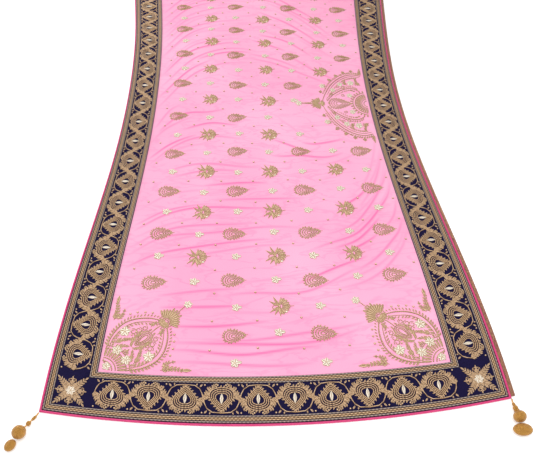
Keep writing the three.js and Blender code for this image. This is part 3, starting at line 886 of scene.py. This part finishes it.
for hand in (1, -1):
    m = lambda x, y: (x, hand * y)
    turned = lambda angle: hand * angle
    # the inner arch round the teardrop
    medallion.cord([m(22, 62), m(50, 76), m(86, 68), m(122, 44), m(150, 12)], 4.2, 2.0)
    medallion.spray([m(26, 66), m(50, 81), m(88, 73), m(125, 48), m(150, 16)], 10, 5.5, angle=50, step=8,
                    sides=(hand,), stem=0, tip=False)
    medallion.spray([m(34, 62), m(54, 70), m(84, 62), m(116, 40)], 10, 5.5, angle=50, step=8,
                    sides=(-hand,), stem=0, tip=False)
    # the outer arch
    medallion.cord([m(8, 142), m(44, 148), m(86, 132), m(126, 94), m(154, 44), m(166, 14)], 4.6, 2.0)
    medallion.cord([m(12, 134), m(44, 139), m(82, 124), m(120, 88), m(146, 42)], 3.0)
    medallion.spray([m(10, 146), m(44, 153), m(90, 137), m(131, 98), m(158, 48)], 12, 6, angle=50, step=8,
                    sides=(hand,), stem=0, tip=False)
    medallion.spray([m(20, 132), m(46, 133), m(80, 118), m(114, 82), m(140, 42)], 11, 5.5, angle=50, step=8,
                    sides=(-hand,), stem=0, tip=False)
    # the band between the arches: flowers, sprays and scrolls
    for x, y, radius in ((50, 104, 13), (92, 96, 11), (122, 66, 10)):
        medallion.flower(*m(x, y), radius, turn=hand * 15)
    medallion.spray([m(14, 92), m(26, 104), m(30, 120)], 12, 6, angle=36, step=7)
    medallion.spray([m(64, 92), m(74, 104), m(72, 118)], 11, 5.5, angle=36, step=7)
    medallion.curl(*m(30, 92), turned(20), 8, hand=hand)
    medallion.curl(*m(74, 84), turned(60), 8, hand=-hand)
    medallion.curl(*m(104, 78), turned(30), 7, hand=hand)
    medallion.curl(*m(136, 46), turned(100), 6, hand=hand)
    medallion.flower(*m(62, 40), 11, turn=hand * 30)
    medallion.curl(*m(84, 34), turned(150), 7, hand=-hand)
    # leafy crests outside the outer arch, and the finial along the border
    for x, y, angle in ((40, 158, 80), (70, 150, 66), (98, 134, 52), (124, 112, 42), (146, 84, 30), (160, 54, 18)):
        medallion.spray([m(x, y), m(x + 8 * math.cos(math.radians(angle)), y + 8 * math.sin(math.radians(angle)))],
                        11, 6, angle=44, step=5, sides=(1, -1), stem=0)
    medallion.flower(*m(160, 86), 11, turn=hand * 10)
    medallion.spray([m(7, 146), m(10, 158), m(9, 172)], 12, 7, angle=34, step=8)
for k in range(11):
    angle = 160 * (k / 10 - 0.5)
    medallion.petal(176 + 6 * math.cos(math.radians(angle)), 6 * math.sin(math.radians(angle)), angle,
                    30 if abs(angle) < 40 else 22, 8, shape=(0.4, 0.8, 1, 0.9, 0.4))
    medallion.petal(174, 0, angle * 0.9 + 180, 16, 5.5)
medallion.knot(175, 0, 5, 2.8)
medallion.spray([(206, 0), (222, 0), (240, 0)], 7, 5, angle=32, step=6)
medallion.flower(256, 0, 12, turn=0)
medallions = Panel()
medallions.stamp(medallion, HALF_W - BORDER - 5, MEDALLION_MIDDLE, net_at, turn=180)
medallion_work = medallions.made("medallion_work", *THREADS)

# ---- Border work ----
# Raised work on the velvet: medallions in turn upright and inverted, a gilt stem that winds over one and
# under the next, leafy scrolls in the spandrels, and a braid of grey and gilt cords along both edges.
TILE, BAND_MIDDLE = 79.0, 53.5          # pitch, and the middle of the band from the edge, mm
tile = Work()
tile.drop(0, 0, 90, 52, 50, inner=(0.98, 0.82, 0.66, 0.5), fringe=24, cord=3.6)
tile.petal(0, -12, 90, 24, 10, thread=SILVER, height=2.4, shape=(0.15, 0.7, 1, 0.7, 0.1))
tile.cord([(-39.5, 0), (-36, 12), (-31, 22), (-20, 29.5), (0, 31.5), (20, 29.5), (31, 22), (36, 12), (39.5, 0)],
          3.4, 2.0, shape=(1, 1))
for hand in (1, -1):
    tile.spray([(hand * 38, 6), (hand * 34, -8), (hand * 27, -20), (hand * 16, -30)], 9.5, 5, angle=48, step=5.5,
               stem=2.4)
    tile.curl(hand * 36, -6, 90 - hand * 150, 5.5, hand=-hand)
    tile.curl(hand * 30, -27, 90 - hand * 60, 4.5, hand=hand)
    tile.petal(hand * 31, 26, 90 - hand * 40, 9, 5)
    tile.petal(hand * 24, 29, 90 - hand * 10, 6, 4)
    tile.knot(hand * 9, -31, 2.6)
    tile.knot(hand * 37, -31, 2.4)

block = Work()           # the square of leaves where two bands meet
for quarter in range(4):
    turn = 45 + 90 * quarter
    cos, sin = math.cos(math.radians(turn)), math.sin(math.radians(turn))
    block.spray([(4 * cos, 4 * sin), (18 * cos, 18 * sin), (38 * cos, 38 * sin)], 14, 6.5, angle=42, step=6.5)
    block.spray([(5 * math.cos(math.radians(turn + 45)), 5 * math.sin(math.radians(turn + 45))),
                 (28 * math.cos(math.radians(turn + 45)), 28 * math.sin(math.radians(turn + 45)))], 9, 5,
                angle=40, step=6)
    for hand in (1, -1):
        block.curl(24 * math.cos(math.radians(turn + 24 * hand)), 24 * math.sin(math.radians(turn + 24 * hand)),
                   turn + 20 * hand, 5, hand=hand)
block.flower(0, 0, 11, petals=6)


def velvet_top(u, v):
    return TOP + 0 * u


def braid_line(panel, off, width, height, step, thread):
    """A cord couched all the way round the cloth at distance off in from its edge."""
    long_steps, short_steps = (2 * int(2 * half / step / 2) for half in (HALF_L - off, HALF_W - off))
    rows, lift = [], []
    ply = np.arange(2 * (long_steps + short_steps)) % 2 * 2 - 1.0
    # painted light of the rows: painted shade at the feet, a painted highlight on the crest, brighter on every
    # other stitch
    for place, rise, light in ((-1, -SINK, 0.1), (0, height, 0.75), (1, -SINK, 0.1)):
        mix = 0.5 + (0.5 if place == 0 else 0) * ply
        outer = [np.column_stack([*lay(*round_rectangle(off - (place + shift) * width / 2, long_steps,
                                                        short_steps))]) for shift in (-0.25, 0.25)]
        here = outer[0] + (outer[1] - outer[0]) * mix[:, None]
        rows.append(np.column_stack([here, np.full(len(here), TOP + rise)]))
        lift.append(np.full(len(here), light) + (0.25 * ply if place == 0 else 0))
    count = len(rows[0])
    panel.add(np.stack(rows, axis=1).reshape(-1, 3), np.stack(lift, axis=1).ravel(),
              ring_faces(count, 3, True), np.full(count * 6, thread))


for side in ("left", "right", "near", "far"):
    panel = Panel()
    long_side = side in ("left", "right")
    count = 24 if long_side else 10
    for k in range(count):
        place = (k - (count - 1) / 2) * TILE
        upright = k % 2 == 0
        if long_side:
            across = HALF_W - BAND_MIDDLE
            u, v = (across if side == "right" else -across), place
            turn = (90 if upright else -90) if side == "right" else (-90 if upright else 90)
        else:
            across = HALF_L - BAND_MIDDLE
            u, v = place, (across if side == "far" else -across)
            turn = (0 if upright else 180) if side == "near" else (180 if upright else 0)
        panel.stamp(tile, u, v, velvet_top, turn=turn)
    if not long_side:
        for across in (-1, 1):
            panel.stamp(block, across * (HALF_W - BAND_MIDDLE), v, velvet_top)
    work = panel.made(f"border_work_{side}", *THREADS)

braids = Panel()
for off, width, height, thread in ((3.0, 4.6, 1.8, GREY), (7.6, 4.4, 1.6, GOLD), (11.4, 4.4, 1.7, GOLD),
                                   (15.6, 4.4, 1.8, GREY), (90.8, 4.2, 1.8, GREY), (94.6, 4.2, 1.6, GOLD),
                                   (98.4, 4.2, 1.7, GOLD), (102.4, 4.4, 1.8, GREY)):
    braid_line(braids, off, width, height, 4.2, thread)
braid_work = braids.made("border_braids", *THREADS)

# ---- Beaded edging and tassels ----
# Gilt seed beads on a strip down the right side, their roundness left to the finish as painted shade, darker from
# each bead's middle to its rim. The tassels are gilt metal, cast and plated: beads threaded on the cord, a ball
# over its knot and hanging drops; their finish darkens towards the rim of each small cell.
for name, code, dark, scale, rough in (("gilt_edging", "C39A6C", "7A3B46", 260.0, 0.45),
                                       ("gilt_plate", "E3A84F", "9A6B30", 220.0, 0.3)):
    plated, tree, shader = finish_of(name, Metallic=0.6, Roughness=rough)
    # darker from each small cell's middle to its rim; on the edging this is painted shade that rounds the beads
    rim_darkening = add(tree, "TexVoronoi", {"Scale": scale})
    toned = add(tree, "ValToRGB", {"Fac": rim_darkening.outputs["Distance"]}, stops=[(0.2, code), (0.75, dark)])
    chased = add(tree, "Bump", {"Strength": 0.7, "Distance": 0.8 * MM, "Height": rim_darkening.outputs["Distance"]})
    tree.links.new(toned.outputs["Color"], shader.inputs["Base Color"])
    tree.links.new(chased.outputs["Normal"], shader.inputs["Normal"])
    for node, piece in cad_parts.items():
        gilt = node.startswith("tassel") and not node.endswith("string")
        if (name == "gilt_plate" and gilt) or (name == "gilt_edging" and node == "beaded_edging_right"):
            piece.data.materials.clear()
            piece.data.materials.append(plated)
